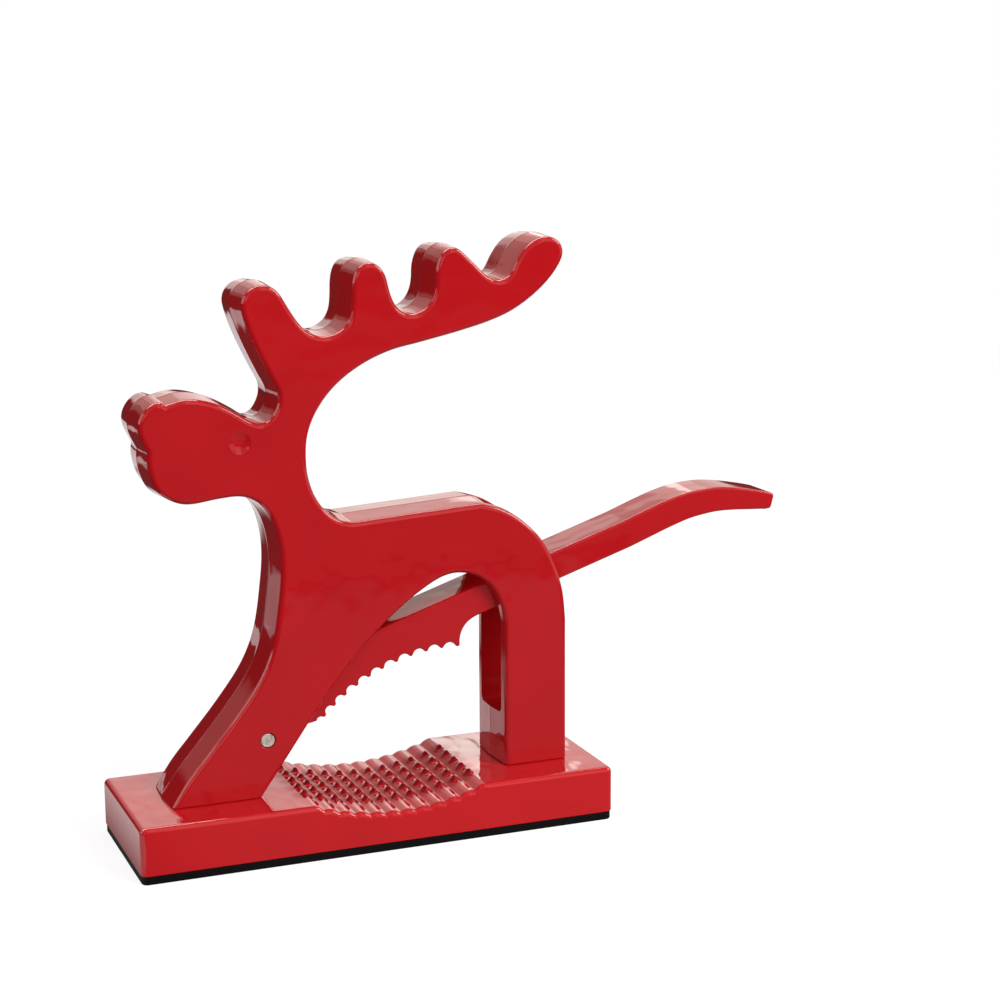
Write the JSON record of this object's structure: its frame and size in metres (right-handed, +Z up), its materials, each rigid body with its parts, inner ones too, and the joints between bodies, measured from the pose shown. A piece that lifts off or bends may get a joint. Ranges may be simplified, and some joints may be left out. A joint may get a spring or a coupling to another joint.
{
  "type": "lever nutcracker press",
  "caption": "Table-top lever nutcracker: an animal figure on a dished base carries a hinged, toothed lever that presses a nut into the studded dish.",
  "frame": {"origin": "centre of the flat underside of the non-slip pad", "axes": "+X from the figure's nose along the base towards the lever's handle, +Y across the base to the figure's left, +Z up"},
  "size_m": [0.2158, 0.052, 0.183],
  "materials": {
    "red_enamel": "glossy red enamel over a die casting",
    "rubber": "matte black",
    "pin_steel": "cut and pressed pin end, worn",
    "zinc_steel": "zinc plated",
    "nylon": "natural white"
  },
  "bodies": {
    "stand": {"non_slip_pad": "rubber", "base_casting": "red_enamel", "figure_casting": "red_enamel", "pivot_pin": "pin_steel", "washer_left": "nylon", "washer_right": "nylon", "front_screw_left": "zinc_steel", "front_screw_right": "zinc_steel", "rear_screw_left": "zinc_steel", "rear_screw_right": "zinc_steel"},
    "lever": {"lever": "red_enamel"}
  },
  "joints": [
    {"name": "lever_hinge", "type": "hinge", "parent": "stand", "child": "lever", "pos_m": [-0.03231, 0, 0.03478], "axis": [0, 1, 0], "range_deg": [-14.5, 23]}
  ]
}
